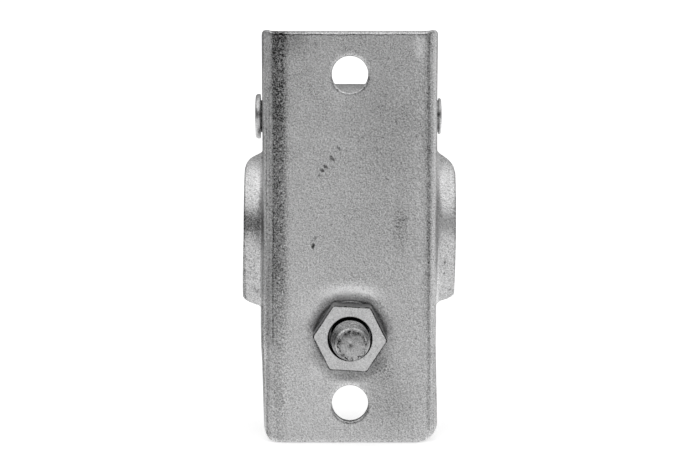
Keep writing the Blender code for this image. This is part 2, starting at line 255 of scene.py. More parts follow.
# Lines drawn by the press along the bends: X, half width, from Z, to Z in mm, gain
STREAKS = (
    (-29.6, 0.25, -70, 70, -0.30),
    (-28.9, 0.25, -70, 70, 0.18),
    (-28.2, 0.22, -60, 40, -0.16),
    (-27.4, 0.35, -66, 34, 0.14),
    (-26.15, 0.18, -36, 10, -0.50),
    (-26.9, 0.5, 30, 71, 0.12),
    (26.7, 0.45, -66, 70, -0.28),
    (28.2, 0.5, -60, 34, 0.10),
    (29.5, 0.2, -70, 66, -0.28),
)

# Dark rub marks on the flat back: X, Z, half length, half width in mm, tilt in degrees, strength
SCUFFS = (
    (-3.7, 30.9, 1.7, 0.55, -52, 0.55),
    (-6.1, 27.7, 1.5, 0.7, -50, 0.75),
    (-8.3, 24.8, 1.2, 0.75, -48, 0.85),
    (-9.4, 23.6, 1.0, 0.7, -35, 0.8),
    (-10.5, 21.7, 0.8, 0.6, -60, 0.6),
    (12.7, 20.4, 1.0, 0.35, -20, 0.55),
    (-6.4, 11.7, 0.8, 0.5, -40, 0.3),
    (1.7, 9.8, 0.8, 0.5, 10, 0.3),
    (12.2, 11.8, 0.8, 0.5, 0, 0.3),
    (-11.9, 0.6, 1.0, 0.55, 80, 0.5),
    (-12.5, -2.1, 1.3, 0.75, 78, 1.0),
    (18.6, 6.9, 2.3, 0.4, 25, 0.35),
    (16.3, 4.4, 1.6, 0.35, -15, 0.3),
)

# Soft panels of the studio, in degrees: azimuth from the camera side (-Y, positive towards +X),
# elevation, softness of the edges, and how much brighter or darker they are than the room
PANELS = (
    (-110, 110, 32, 64, 12, 1.12),
    (-400, 400, 64, 100, 14, 0.85),
    (-400, -110, 22, 62, 12, 0.40),
    (110, 400, 22, 62, 12, 0.40),
    (-400, 400, -100, -6, 5, 0.80),
    (-14, 50, -16, 8, 9, 0.33),
    (-150, -82, -40, 30, 12, 0.24),
    (98, 160, -40, 30, 12, 0.50),
    (50, 98, -10, 30, 8, 0.12),
)
ROOM = 0.09
DARKEST = 0.03
BACKDROP = 1.05

# Floor and camera
FLOOR_GAP = 0.1 * MM
FLOOR_R = 6.0
FLOOR_GLOW = 0.5
CAMERA_TARGET = (0.0, -0.15 * MM, -1.6 * MM)
CAMERA_ELEVATION = 5.5
CAMERA_DISTANCE = 1.031
CAMERA_LENS = 150.7


def smooth(value, low, high):
    """0 below low, 1 above high, smooth between them."""
    share = np.clip((value - low) / (high - low), 0.0, 1.0)
    return share * share * (3 - 2 * share)


def bell(value, middle, width):
    """1 at the middle, falling off on both sides."""
    return np.exp(-(((value - middle) / width) ** 2))


# ---------------------------------------------------------------- mesh helpers


def new_object(name, bm, sharp_degrees=180):
    mesh = bpy.data.meshes.new(name)
    bm.to_mesh(mesh)
    bm.free()
    mesh.shade_smooth()
    if sharp_degrees < 180:
        mesh.set_sharp_from_angle(angle=math.radians(sharp_degrees))
    obj = bpy.data.objects.new(name, mesh)
    bpy.context.scene.collection.objects.link(obj)
    return obj


def skin(bm, columns, closed=False):
    """Quads between columns of points; closed joins each column's last point to its first."""
    rows = [[bm.verts.new(point) for point in column] for column in columns]
    for low, high in zip(rows, rows[1:]):
        count = len(low)
        for i in range(count if closed else count - 1):
            j = (i + 1) % count
            bm.faces.new((low[i], low[j], high[j], high[i]))
    return rows


def modifier(obj, kind, **settings):
    made = obj.modifiers.new(kind.lower(), kind)
    for key, value in settings.items():
        setattr(made, key, value)
    return made


def bake_modifiers(obj):
    """Replaces the object's mesh by what its modifiers make of it."""
    bpy.context.view_layer.update()
    graph = bpy.context.evaluated_depsgraph_get()
    mesh = bpy.data.meshes.new_from_object(obj.evaluated_get(graph))
    obj.modifiers.clear()
    obj.data = mesh
    return obj


def cut(obj, cutters):
    """Takes the cutters out of the object, and removes them."""
    for cutter in cutters:
        modifier(obj, "BOOLEAN", operation="DIFFERENCE", solver="MANIFOLD", object=cutter)
    bake_modifiers(obj)
    for cutter in cutters:
        bpy.data.objects.remove(cutter)


def remesh(obj, size=VOXEL, rounds=3):
    """Even skin over the solid, with every edge slightly rounded."""
    modifier(obj, "REMESH", mode="VOXEL", voxel_size=size, use_smooth_shade=True)
    modifier(obj, "SMOOTH", factor=0.5, iterations=rounds)
    bake_modifiers(obj)


def coordinates(obj):
    points = np.empty(len(obj.data.vertices) * 3)
    obj.data.vertices.foreach_get("co", points)
    return points.reshape(-1, 3)


def set_coordinates(obj, points):
    obj.data.vertices.foreach_set("co", points.ravel())
    obj.data.update()


def along_x(location):
    """Local Z runs along X."""
    return Matrix.Translation(location) @ Matrix.Rotation(math.radians(90), 4, "Y")


def along_back(location):
    """Local Z runs along -Y, out of the back."""
    return Matrix.Translation(location) @ Matrix.Rotation(math.radians(90), 4, "X")


def cylinder(radius, length, place, steps=96):
    bm = bmesh.new()
    bmesh.ops.create_cone(
        bm, cap_ends=True, segments=steps, radius1=radius, radius2=radius, depth=length
    )
    bmesh.ops.transform(bm, matrix=place, verts=bm.verts)
    return new_object("cutter", bm)


def turned(name, profile, place, steps=96):
    """A body of revolution of (radius, height) points, first and last on the axis."""
    bm = bmesh.new()
    rings = []
    for radius, height in profile[1:-1]:
        rings.append([
            Vector((radius * math.cos(a), radius * math.sin(a), height))
            for a in (2 * math.pi * i / steps for i in range(steps))
        ])
    rows = skin(bm, rings, closed=True)
    for row, (_, height) in ((rows[0], profile[0]), (rows[-1], profile[-1])):
        hub = bm.verts.new((0.0, 0.0, height))
        for i in range(steps):
            bm.faces.new((row[i], row[(i + 1) % steps], hub))
    bmesh.ops.recalc_face_normals(bm, faces=bm.faces)
    bmesh.ops.transform(bm, matrix=place, verts=bm.verts)
    return new_object(name, bm, 30)


def quarter(centre, radius, start, end, steps=5):
    """Points (radius, height) along a small rounding."""
    return [
        (centre[0] + radius * math.cos(a), centre[1] + radius * math.sin(a))
        for a in (math.radians(start + (end - start) * i / steps) for i in range(steps + 1))
    ]


# ---------------------------------------------------------------- channel body


def corner_rise(x, radius):
    """How far a rounded corner of the web stands back from its straight end."""
    past = max(0.0, x - (HALF_WIDTH - radius))
    return radius - math.sqrt(max(0.0, radius**2 - past**2))


def body_column(z, edge_y):
    """Outer face of half the channel at one height, from the middle to the flange's free edge."""
    points = []
    web_end = HALF_WIDTH - BEND_R
    for i in range(WEB_STEPS):
        points.append(Vector((web_end * i / WEB_STEPS, BACK_Y, z)))
    for i in range(BEND_STEPS + 1):
        turn = math.pi / 2 * i / BEND_STEPS
        x = web_end + BEND_R * math.sin(turn)
        points.append(Vector((x, BACK_Y + BEND_R * (1 - math.cos(turn)), z)))
    start = points[-1].y
    for i in range(1, FLANGE_STEPS + 1):
        points.append(Vector((HALF_WIDTH, start + (edge_y - start) * i / FLANGE_STEPS, z)))
    for point in points:
        reach = math.hypot(point.x, z - BOLT_Z)
        if point.y < BACK_Y + MM:
            point.y += SEAT_STEP * (1 - float(smooth(reach, *SEAT_EDGES)))
            point.y += (DISH_DEPTH - SEAT_STEP) * (1 - float(smooth(reach, *DISH_EDGES)))
        low = max(0.0, 1 - (z - BOTTOM_Z) / CORNER_FADE)
        high = max(0.0, 1 - (TOP_Z - z) / CORNER_FADE)
        point.z += low * corner_rise(point.x, BOTTOM_CORNER_R)
        point.z -= high * corner_rise(point.x, TOP_CORNER_R)
    return points


def ear_edge(ear, end_y, end_z):
    """(z, y) of the flange's free edge round an ear and straight on to the channel's end."""
    side = math.copysign(1, ear[1])
    run = Vector((side * (end_z - ear[1]), end_y - ear[0]))
    leave = math.pi / 2 - math.atan2(run.x, run.y) + math.acos(EAR_R / run.length)
    edge = []
    for i in range(EAR_STEPS + 1):
        turn = EAR_START + (leave - EAR_START) * i / EAR_STEPS
        edge.append((ear[1] + side * EAR_R * math.sin(turn), ear[0] + EAR_R * math.cos(turn)))
    last = edge[-1]
    for i in range(1, EDGE_STEPS + 1):
        edge.append(tuple(a + (b - a) * i / EDGE_STEPS for a, b in zip(last, (end_z, end_y))))
    return edge


def lip_reach(psi, side):
    """How far the collar stands out of the flange at one angle, on the right (0) or the left (1)."""
    return COLLAR_LIP * float(np.interp(math.degrees(psi), COLLAR_ANGLES, COLLAR_SHARES[side]))


def collar_column(psi, side):
    """Outer face of the flared collar at one angle, from the flange out to the lip."""
    reach = lip_reach(psi, side)
    outer = SEAT_R + SHEET
    arc = math.pi / 2 * COLLAR_FILLET_R
    if reach >= COLLAR_FILLET_R:
        total = arc + reach - COLLAR_FILLET_R
    else:
        total = COLLAR_FILLET_R * math.acos(1 - reach / COLLAR_FILLET_R)
    points = []
    for i in range(COLLAR_STEPS + 1):
        along = total * i / COLLAR_STEPS
        turn = min(along, arc) / COLLAR_FILLET_R
        out = max(0.0, along - arc)
        radius = outer + COLLAR_FILLET_R * (1 - math.sin(turn)) - COLLAR_LEAN * out / COLLAR_LIP
        x = HALF_WIDTH + COLLAR_FILLET_R * (1 - math.cos(turn)) + out
        points.append(Vector((x, -radius * math.cos(psi), radius * math.sin(psi))))
    return points


def collar_angles():
    """Angles of the collar's columns, closer together towards its two ends."""
    middle = math.radians(COLLAR_ANGLES[0] + COLLAR_ANGLES[-1]) / 2
    half = math.radians(COLLAR_ANGLES[-1] - COLLAR_ANGLES[0]) / 2
    steps = range(COLLAR_COLUMNS + 1)
    return [middle - half * math.cos(math.pi * i / COLLAR_COLUMNS) for i in steps]


def make_body():
    """The channel and its collars as one sheet, thickened, bored and marked by the press."""
    bm = bmesh.new()
    root = SEAT_R + SHEET + COLLAR_FILLET_R
    angles = collar_angles()
    lower = [body_column(z, y) for z, y in ear_edge(LOWER_EAR, LOWER_END_Y, BOTTOM_Z)]
    saddle = [body_column(root * math.sin(a), -root * math.cos(a)) for a in angles]
    upper = [body_column(z, y) for z, y in ear_edge(UPPER_EAR, UPPER_END_Y, TOP_Z)]
    for side, flip in ((0, 1), (1, -1)):
        for columns in (
            lower[::-1] + saddle + upper,
            [collar_column(a, side) for a in angles],
        ):
            columns = [[Vector((flip * p.x, p.y, p.z)) for p in column] for column in columns]
            skin(bm, columns[::flip])
    bmesh.ops.remove_doubles(bm, verts=bm.verts, dist=MERGE)
    body = new_object("channel_body_skin", bm)
    modifier(body, "SOLIDIFY", thickness=SHEET, offset=-1.0, use_even_offset=True)
    bake_modifiers(body)
    remesh(body, rounds=1)
    depth = 6 * SHEET
    holes = [
        cylinder(radius, depth, along_back(Vector((0.0, BACK_Y, z))))
        for radius, z in ((BOLT_HOLE_R, BOLT_Z), (FIXING_R, FIXING_Z), (FIXING_R, -FIXING_Z))
    ]
    pin = Vector((0.0, *UPPER_EAR))
    holes.append(cylinder(RIVET_HOLE_R, 4 * HALF_WIDTH, along_x(pin)))
    cut(body, holes)
    remesh(body)
    press_marks(body)
    return body


def press_marks(body):
    """What the press leaves: uneven flanges, a rolled top edge, a fold where the left collar ends."""
    points = coordinates(body)
    x, y, z = points.T
    side = smooth(np.abs(x), 18 * MM, 28 * MM)
    left = np.interp(z / MM, HEIGHTS, LEFT_HALF)
    right = np.interp(z / MM, HEIGHTS, RIGHT_HALF)
    x += np.sign(x) * side * (np.where(x < 0, left, right) * MM - HALF_WIDTH)
    z -= COLLAR_DROP * smooth(-x, 29 * MM, 33 * MM) * bell(z, -25 * MM, 7 * MM)
    back = smooth(-y, 36.5 * MM, 38.5 * MM) * (np.abs(x) < HALF_WIDTH - 2 * MM)
    wobble = 0.12 * np.sin(x / (2.3 * MM)) + 0.1 * np.sin(x / (0.9 * MM) + 1.0)
    y += back * RIM_ROLL * smooth(z, RIM_Z + (wobble - 0.15) * MM, TOP_Z + 0.1 * MM)
    beside = x - FOLD_AT[0]
    above = z - FOLD_AT[1]
    across = beside * FOLD_TURN[0] + above * FOLD_TURN[1]
    along = above * FOLD_TURN[0] - beside * FOLD_TURN[1]
    fold = bell(np.hypot(across, along * FOLD_STRETCH), 0.0, FOLD_WIDTH)
    y += FOLD_DEPTH * fold * (x < -29 * MM) * (y < -8 * MM)
    z += CORNER_LIFT * smooth(np.abs(x), 26.5 * MM, 28 * MM) * smooth(z, 68.5 * MM, 70.4 * MM)
    z += FOOT_LIFT * smooth(x, 22 * MM, 29.5 * MM) * smooth(-z, 62 * MM, 69.6 * MM)
    set_coordinates(body, points)


# ---------------------------------------------------------------- hinged cap


def arc_points(centre, radius, start, end, steps):
    """Points along an arc, both ends included."""
    angles = [start + (end - start) * i / steps for i in range(steps + 1)]
    return [(centre[0] + radius * math.cos(a), centre[1] + radius * math.sin(a)) for a in angles]


def cap_centreline():
    """(y, z) along the strip's tube side, from the end of the rolled eye to the tip of the tail."""
    pin = UPPER_EAR
    pin_distance = math.hypot(*pin)
    pin_angle = math.atan2(pin[1], pin[0])
    to_neck = CAP_SEAT_R + NECK_R
    eye_to_neck = EYE_BORE_R + NECK_R
    spread = (to_neck**2 + pin_distance**2 - eye_to_neck**2) / (2 * to_neck * pin_distance)
    arch_start = pin_angle - math.acos(spread)
    neck = (to_neck * math.cos(arch_start), to_neck * math.sin(arch_start))
    leave_eye = math.atan2(neck[1] - pin[1], neck[0] - pin[0])
    eye = arc_points(pin, EYE_BORE_R, EYE_WRAP, leave_eye, EYE_STEPS)
    neck_arc = arc_points(neck, NECK_R, leave_eye + math.pi, arch_start + math.pi, NECK_STEPS)
    arch = arc_points((0.0, 0.0), CAP_SEAT_R, arch_start, ARCH_END, ARCH_STEPS)
    knee_distance = CAP_SEAT_R + KNEE_R
    knee = (knee_distance * math.cos(ARCH_END), knee_distance * math.sin(ARCH_END))
    knee_arc = arc_points(knee, KNEE_R, ARCH_END + math.pi, math.pi, KNEE_STEPS)
    tail_y = knee[0] - KNEE_R
    tail_z = knee_arc[-1][1]
    tail = [
        (tail_y, tail_z + (TAIL_END_Z - tail_z) * i / TAIL_STEPS) for i in range(1, TAIL_STEPS + 1)
    ]
    return eye + neck_arc[1:] + arch[1:] + knee_arc[1:] + tail


def cap_half_width(z, in_front):
    """Half width of the strip at one height: the tail tapers and has rounded corners."""
    taper_top = BOLT_Z / 2
    if z > taper_top or not in_front:
        return CAP_HALF_WIDTH
    share = (taper_top - z) / (taper_top - TAIL_END_Z)
    width = CAP_HALF_WIDTH + (TAIL_END_HALF_WIDTH - CAP_HALF_WIDTH) * share
    past = max(0.0, TAIL_END_Z + TAIL_CORNER_R - z)
    return width - TAIL_CORNER_R + math.sqrt(max(0.0, TAIL_CORNER_R**2 - past**2))


def make_cap():
    """The cap as one bent strip, with a round-ended slot that makes the fork."""
    bm = bmesh.new()
    columns = []
    for y, z in cap_centreline():
        half = cap_half_width(z, y > 0)
        columns.append([
            Vector((half * (1 - i / STRIP_HALF_STEPS), y, z))
            for i in range(2 * STRIP_HALF_STEPS + 1)
        ])
    skin(bm, columns)
    cap = new_object("hinged_cap_strip", bm)
    modifier(cap, "SOLIDIFY", thickness=CAP_SHEET, offset=-1.0, use_even_offset=True)
    bake_modifiers(cap)
    slot_bm = bmesh.new()
    reach = 4 * CAP_SEAT_R
    bmesh.ops.create_cone(
        slot_bm,
        cap_ends=True,
        segments=96,
        radius1=FORK_HALF_WIDTH,
        radius2=FORK_HALF_WIDTH,
        depth=reach,
        matrix=along_back(Vector((0.0, reach / 2, FORK_END_Z))),
    )
    for vert in slot_bm.verts:
        if vert.co.z < FORK_END_Z - MERGE:
            vert.co.z += 2 * TAIL_END_Z
    cut(cap, [new_object("cutter", slot_bm)])
    remesh(cap, CAP_VOXEL, 4)
    return cap


# ---------------------------------------------------------------- rivet, bolt, washer, nut


def head_profile(radius, thickness, neck, base):
    """(radius, height) of a flat round head on a short neck, from its middle out to its base."""
    edge = min(1.0 * MM, 0.6 * (thickness - neck))
    crown = 0.22 * MM
    points = [(0.0, base + thickness)]
    for i in range(1, 8):
        points.append(((radius - edge) * i / 7, base + thickness - crown * (i / 7) ** 2))
    top = base + thickness - crown - edge
    points += quarter((radius - edge, top), edge, 81, 0, 8)
    rim = 0.15 * MM
    points += quarter((radius - rim, base + neck + rim), rim, 0, -90, 3)
    return points + [(RIVET_R + 0.3 * MM, base + neck), (RIVET_R + 0.3 * MM, base)]


def make_rivet():
    """Rivet through both ears: formed head on the left, smaller clinched end on the right."""
    outer = HALF_WIDTH + GAP
    tail = head_profile(*RIVET_TAIL, outer)
    head = head_profile(*RIVET_HEAD, outer)
    profile = tail + [(RIVET_R, outer), (RIVET_R, -outer)]
    profile += [(radius, -height) for radius, height in reversed(head)]
    return turned("hinge_rivet_turned", profile, along_x(Vector((0.0, *UPPER_EAR))))


def thread_profile(turn, height):
    """Depth of the thread below its crest, 0 to THREAD_DEPTH: half rounded, half straight-sided."""
    phase = (height / THREAD_PITCH - turn / (2 * math.pi)) % 1.0
    ridge = abs(2 * phase - 1)
    rounded = THREAD_DEPTH * float(smooth(ridge, 0.08, 0.92)) * 0.5
    straight = THREAD_DEPTH * 0.5 * min(1.0, max(0.0, (ridge - 0.1) / 0.8))
    return rounded + straight


def tail_face_y():
    """Y of the face of the cap's tail that the bolt's head bears on."""
    return (CAP_SEAT_R + KNEE_R) * math.cos(ARCH_END) - KNEE_R + CAP_SHEET


def bolt_radius(turn, height):
    """Radius of the threaded end, which tapers and loses its thread towards the tip."""
    tip = -BOLT_TIP_Y
    start = -THREAD_END_Y
    fade_in = float(smooth(height, start, start + 3 * MM))
    crest = BOLT_R + (CREST_R - BOLT_R) * fade_in
    taper = BOLT_TIP_R + max(0.0, tip - height) * TIP_TAPER
    depth = thread_profile(turn, height) * fade_in
    depth *= 0.35 + 0.65 * float(smooth(tip - height, 0.0, 4 * MM))
    return min(crest, taper) - depth * float(smooth(tip - height, 0.2 * MM, 1.2 * MM))


def tip_dents(x, z):
    """Depth of the marks of the tool that spread the bolt's end."""
    radius = np.hypot(x, z)
    turn = np.arctan2(z, x)
    depth = NICK_DEPTH * bell(x, -0.5 * MM, 0.5 * MM) * bell(z, 0.3 * MM, 0.8 * MM)
    for angle, strength in TIP_DENTS:
        away = (turn - math.radians(angle) + math.pi) % (2 * math.pi) - math.pi
        dent = bell(away * radius, 0.0, 0.75 * MM) * bell(radius, 5.0 * MM, 0.9 * MM)
        depth = depth + DENT_DEPTH * strength * dent
    return depth


def make_bolt(steps=96):
    """Shank with its threaded, leaning, dented end, and the tee head as a piece of its own."""
    head_y = tail_face_y() + GAP
    tip = -BOLT_TIP_Y
    start = -THREAD_END_Y
    heights = [-head_y] + [-head_y + (start + head_y) * i / SHANK_ROWS for i in range(1, SHANK_ROWS)]
    heights += [start + (tip - start) * i / THREAD_ROWS for i in range(THREAD_ROWS + 1)]
    turns = [2 * math.pi * i / steps for i in range(steps)]
    rings = []
    for height in heights:
        lean = max(0.0, (height - TIP_LEAN_FROM) / (tip - TIP_LEAN_FROM))
        ring = []
        for turn in turns:
            radius = bolt_radius(turn, height) if height >= start else BOLT_R
            ring.append(Vector((
                radius * math.cos(turn) + TIP_SHIFT[0] * lean,
                -height,
                BOLT_Z + radius * math.sin(turn) + TIP_SHIFT[1] * lean,
            )))
        rings.append(ring)
    for share in TIP_RINGS:
        ring = []
        for turn in turns:
            x = BOLT_TIP_R * share * math.cos(turn)
            z = BOLT_TIP_R * share * math.sin(turn)
            y = BOLT_TIP_Y - TIP_CROWN * (1 - share**2) + float(tip_dents(x, z))
            ring.append(Vector((x + TIP_SHIFT[0], y, BOLT_Z + z + TIP_SHIFT[1])))
        rings.append(ring)
    bm = bmesh.new()
    rows = skin(bm, rings, closed=True)
    bm.faces.new(rows[-1])
    bm.faces.new(rows[0][::-1])
    bmesh.ops.recalc_face_normals(bm, faces=bm.faces)
    return new_object("tee_bolt_shank", bm, 50), make_tee_head(head_y)


def make_tee_head(head_y, steps=128):
    """Round head with two flats, so that it drops through the fork when turned in line with it."""
    flat = BOLT_R + 0.05 * MM
    front = head_y + TEE_T
    edge = 0.9 * MM
    levels = [(head_y, edge * 0.5)]
    for a in (0.5, 1.0, math.pi / 2):
        levels.append((head_y + edge * 0.5 * (1 - math.cos(a)), edge * 0.5 * (1 - math.sin(a))))
    for a in (0.0, 0.4, 0.8, 1.2, math.pi / 2):
        levels.append((front - edge * (1 - math.sin(a)), edge * (1 - math.cos(a))))
    rings = []
    for y, inset in levels:
        out = TEE_R - inset
        side = flat - inset
        ring = []
        for i in range(steps):
            turn = 2 * math.pi * i / steps
            x = max(-side, min(side, out * math.cos(turn)))
            ring.append(Vector((x, y, BOLT_Z + out * math.sin(turn))))
        rings.append(ring)
    bm = bmesh.new()
    rows = skin(bm, rings, closed=True)
    bm.faces.new(rows[0][::-1])
    bm.faces.new(rows[-1])
    bmesh.ops.remove_doubles(bm, verts=bm.verts, dist=MERGE)
    bmesh.ops.recalc_face_normals(bm, faces=bm.faces)
    return new_object("tee_bolt_head", bm, 40)


def ring_body(name, outline_at, steps, sharp_degrees):
    """A closed ring round the bolt; outline_at gives its (radius, height) outline at each turn."""
    bm = bmesh.new()
    rows = []
    for i in range(steps):
        turn = 2 * math.pi * i / steps
        rows.append([
            bm.verts.new((radius * math.cos(turn), -height, BOLT_Z + radius * math.sin(turn)))
            for radius, height in outline_at(turn)
        ])
    rows.append(rows[0])
    for low, high in zip(rows, rows[1:]):
        for i in range(len(low)):
            j = (i + 1) % len(low)
            bm.faces.new((low[i], low[j], high[j], high[i]))
    bmesh.ops.recalc_face_normals(bm, faces=bm.faces)
    return new_object(name, bm, sharp_degrees)


def make_washer():
    """Plain washer on the dish's floor; its bore is closed up to the thread."""
    near = -(BACK_Y + DISH_DEPTH) + GAP
    far = near + WASHER_T
    rim = 0.35 * MM
    bore = CREST_R + 0.05 * MM
    outline = quarter((WASHER_R - rim, far - rim), rim, 90, 0)
    outline += quarter((WASHER_R - rim, near + rim), rim, 0, -90)
    outline += [(bore, near), (bore, far)]
    return ring_body("seat_washer_ring", lambda turn: outline, 96, 30)


def hex_radius(turn, flat, corner):
    """Radius of a hexagon with slightly rounded corners."""
    away = (turn + math.pi / 6) % (math.pi / 3) - math.pi / 6
    return min(flat / math.cos(away), corner)


def nut_outline(turn):
    """(radius, height) round the nut's section at one turn, from the bore out over the outer face."""
    near = -(BACK_Y + DISH_DEPTH) + GAP + WASHER_T + GAP
    far = near + NUT_T
    flat = NUT_ACROSS_FLATS / 2
    corner = flat / math.cos(math.pi / 6) - 0.15 * MM
    bore = BOLT_R + GAP
    mouth = bore + COUNTERSINK
    edge = 0.42 * MM
    out = hex_radius(turn - NUT_TURN, flat, corner)
    drop = max(0.0, out - NUT_CHAMFER_R) * math.tan(math.radians(30))
    face_r = min(out, NUT_CHAMFER_R)
    top = far - edge - drop
    low = near + edge + drop
    inset = 0.8 * MM
    outline = [
        (bore, near + inset + (NUT_T - 2 * inset) * i / NUT_BORE_ROWS)
        for i in range(NUT_BORE_ROWS + 1)
    ]
    outline += [(bore, far - COUNTERSINK), (mouth, far)]
    for share in (0.25, 0.5, 0.75, 0.93):
        outline.append((mouth + (face_r - edge - bore - COUNTERSINK) * share, far))
    outline += [(face_r - edge, far), (face_r - edge * 0.8, far - edge * 0.12), (out, top)]
    outline += [(out, top + (low - top) * share) for share in (0.25, 0.5, 0.75)]
    outline += [(out, low), (face_r - edge * 0.8, near + edge * 0.12), (face_r - edge, near)]
    return outline + [(mouth, near)]


def make_nut():
    """Hexagon nut with chamfered corners on both sides and a plain, countersunk bore."""
    return ring_body("bolt_nut_hex", nut_outline, NUT_STEPS, 25)


# ---------------------------------------------------------------- materials


class Graph:
    """Short names for the nodes of one material or world."""

    def __init__(self, tree):
        self.tree = tree

    def node(self, kind, inputs=None, **settings):
        """A new node; an input given as a socket is linked, and any other is set."""
        made = self.tree.nodes.new(kind)
        for key, value in settings.items():
            setattr(made, key, value)
        for key, value in (inputs or {}).items():
            if isinstance(value, bpy.types.NodeSocket):
                self.tree.links.new(value, made.inputs[key])
            else:
                made.inputs[key].default_value = value
        return made

    def math(self, operation, a, b=0.0, clamp=False):
        made = self.node("ShaderNodeMath", {0: a, 1: b}, operation=operation, use_clamp=clamp)
        return made.outputs[0]

    def add(self, a, b):
        return self.math("ADD", a, b)

    def mul(self, a, b):
        return self.math("MULTIPLY", a, b)

    def step(self, value, low, high, to_low=0.0, to_high=1.0):
        """to_low below low, to_high above high, smooth between them."""
        made = self.node(
            "ShaderNodeMapRange",
            {"Value": value, 1: low, 2: high, 3: to_low, 4: to_high},
            interpolation_type="SMOOTHSTEP",
        )
        return made.outputs[0]

    def window(self, value, low, high, soft):
        """1 between low and high, 0 outside, with soft edges."""
        rise = self.step(value, low - soft, low + soft)
        fall = self.step(value, high - soft, high + soft, 1.0, 0.0)
        return self.mul(rise, fall)

    def noise(self, vector, size, detail=2.0, roughness=0.5):
        """Noise whose grains are about as large as size."""
        made = self.node(
            "ShaderNodeTexNoise",
            {"Vector": vector, "Scale": 1 / size, "Detail": detail, "Roughness": roughness},
        )
        return made.outputs[0]

    def stretch(self, vector, scale, location=(0.0, 0.0, 0.0)):
        """The vector scaled, then moved."""
        made = self.node(
            "ShaderNodeMapping", {"Vector": vector, "Location": location, "Scale": scale}
        )
        return made.outputs[0]

    def split(self, vector):
        """X, Y and Z of a vector."""
        return self.node("ShaderNodeSeparateXYZ", {0: vector}).outputs

    def spot(self, vector, centre, radii, tilt=0.0, soft=0.5):
        """1 inside an ellipsoid at centre, falling to 0 at its radii; tilt turns it about Y."""
        made = self.node(
            "ShaderNodeMapping",
            {"Vector": vector, "Location": centre, "Rotation": (0.0, tilt, 0.0), "Scale": radii},
            vector_type="TEXTURE",
        )
        length = self.node("ShaderNodeVectorMath", {0: made.outputs[0]}, operation="LENGTH")
        return self.step(length.outputs["Value"], soft, 1.0, 1.0, 0.0)


def zinc(name, extra=None):
    """Bright zinc plate on steel: fine grain, clouding and pits; extra adds what one piece has."""
    tone, roughness, grain_mm, bump, mottle = FINISHES[name]
    material = bpy.data.materials.new(name)
    material.use_nodes = True
    graph = Graph(material.node_tree)
    shader = material.node_tree.nodes["Principled BSDF"]
    shader.inputs["Metallic"].default_value = 1.0
    place = graph.node("ShaderNodeTexCoord").outputs["Object"]
    grain = graph.noise(place, grain_mm * MM, 3.0, 0.65)
    beside = graph.stretch(place, (1.0, 1.0, 1.0), GRAIN_SHIFT)
    slope = graph.math("SUBTRACT", grain, graph.noise(beside, grain_mm * MM, 3.0, 0.65))
    fine = graph.noise(place, FINE_GRAIN)
    cloud = graph.noise(place, CLOUD_SIZE, 3.0, 0.55)
    shade = graph.step(grain, 0.3, 0.7, -0.10, 0.08)
    shade = graph.add(shade, graph.mul(slope, 1.1 * mottle))
    shade = graph.add(shade, graph.step(fine, 0.3, 0.7, -0.34 * mottle, 0.34 * mottle))
    shade = graph.add(shade, graph.step(cloud, 0.25, 0.75, -0.07, 0.07))
    pits = graph.step(graph.noise(place, PIT_SIZE), 0.66, 0.76, 0.0, -0.35)
    shade = graph.add(shade, pits)
    height = graph.add(graph.mul(grain, 0.9), graph.mul(fine, 0.35))
    rough = graph.add(graph.step(cloud, 0.3, 0.7, -0.04, 0.05), roughness)
    rough = graph.add(rough, graph.step(fine, 0.3, 0.7, -0.05, 0.05))
    if extra:
        shade, height, rough = extra(graph, place, shade, height, rough)
    value = graph.math("MAXIMUM", graph.mul(graph.add(shade, 1.0), tone), 0.02)
    colour = graph.node("ShaderNodeCombineColor", {0: value, 1: value, 2: graph.mul(value, 1.004)})
    material.node_tree.links.new(colour.outputs[0], shader.inputs["Base Color"])
    material.node_tree.links.new(rough, shader.inputs["Roughness"])
    relief = graph.node(
        "ShaderNodeBump", {"Height": height, "Strength": 1.0, "Distance": RELIEF * bump}
    )
    material.node_tree.links.new(relief.outputs[0], shader.inputs["Normal"])
    return material


def bend_painted_shade(graph, x, z, mottle, outside):
    """Painted shade of the two bends over their mottling, and how far a point is on either: the left
    one darkens upwards.
    """
    left = graph.step(x, -27.0 * MM, -25.8 * MM)
    left = graph.mul(left, graph.step(x, -23.2 * MM, -19.8 * MM, 1.0, 0.0))
    left = graph.mul(left, outside)
    right = graph.mul(graph.window(x, 25.2 * MM, 27.6 * MM, 0.6 * MM), outside)
    # Painted shade: the left bend darker upwards, the right one lighter low down
    left_bend_shade_and_mottle = graph.add(
        graph.step(z, -48 * MM, -8 * MM, 0.10, -0.36), graph.step(z, 8 * MM, 46 * MM, 0.0, -0.22)
    )
    right_bend_shade_and_mottle = graph.step(z, -45 * MM, -12 * MM, 0.22, -0.10)
    left_bend_shade_and_mottle = graph.mul(left, graph.add(left_bend_shade_and_mottle, graph.mul(mottle, 0.8)))
    right_bend_shade_and_mottle = graph.mul(right, graph.add(right_bend_shade_and_mottle, graph.mul(mottle, 0.45)))
    return left_bend_shade_and_mottle, right_bend_shade_and_mottle, graph.add(left, right)


def flank_painted_shade(graph, x, z):
    """Painted shade: the left flank is darker, and so is the right one below the saddle."""
    left = graph.step(x, -20 * MM, 20 * MM, -0.26, 0.0)
    low = graph.step(z, -40 * MM, -22 * MM, 1.0, 0.0)
    return graph.add(left, graph.mul(graph.step(x, -20 * MM, 20 * MM, 0.0, -0.26), low))


def rub_marks(graph, place):
    """Strength of the rub marks at a point, ragged like real ones."""
    marks = None
    for x, z, length, width, tilt, strength in SCUFFS:
        centre = (x * MM, BACK_Y, z * MM)
        radii = (length * MM, SCUFF_DEPTH, width * MM)
        mark = graph.mul(graph.spot(place, centre, radii, math.radians(-tilt)), strength)
        marks = mark if marks is None else graph.math("MAXIMUM", marks, mark)
    ragged = graph.step(graph.noise(place, 0.5 * MM), 0.3, 0.6, 0.45, 1.0)
    return graph.mul(marks, ragged)


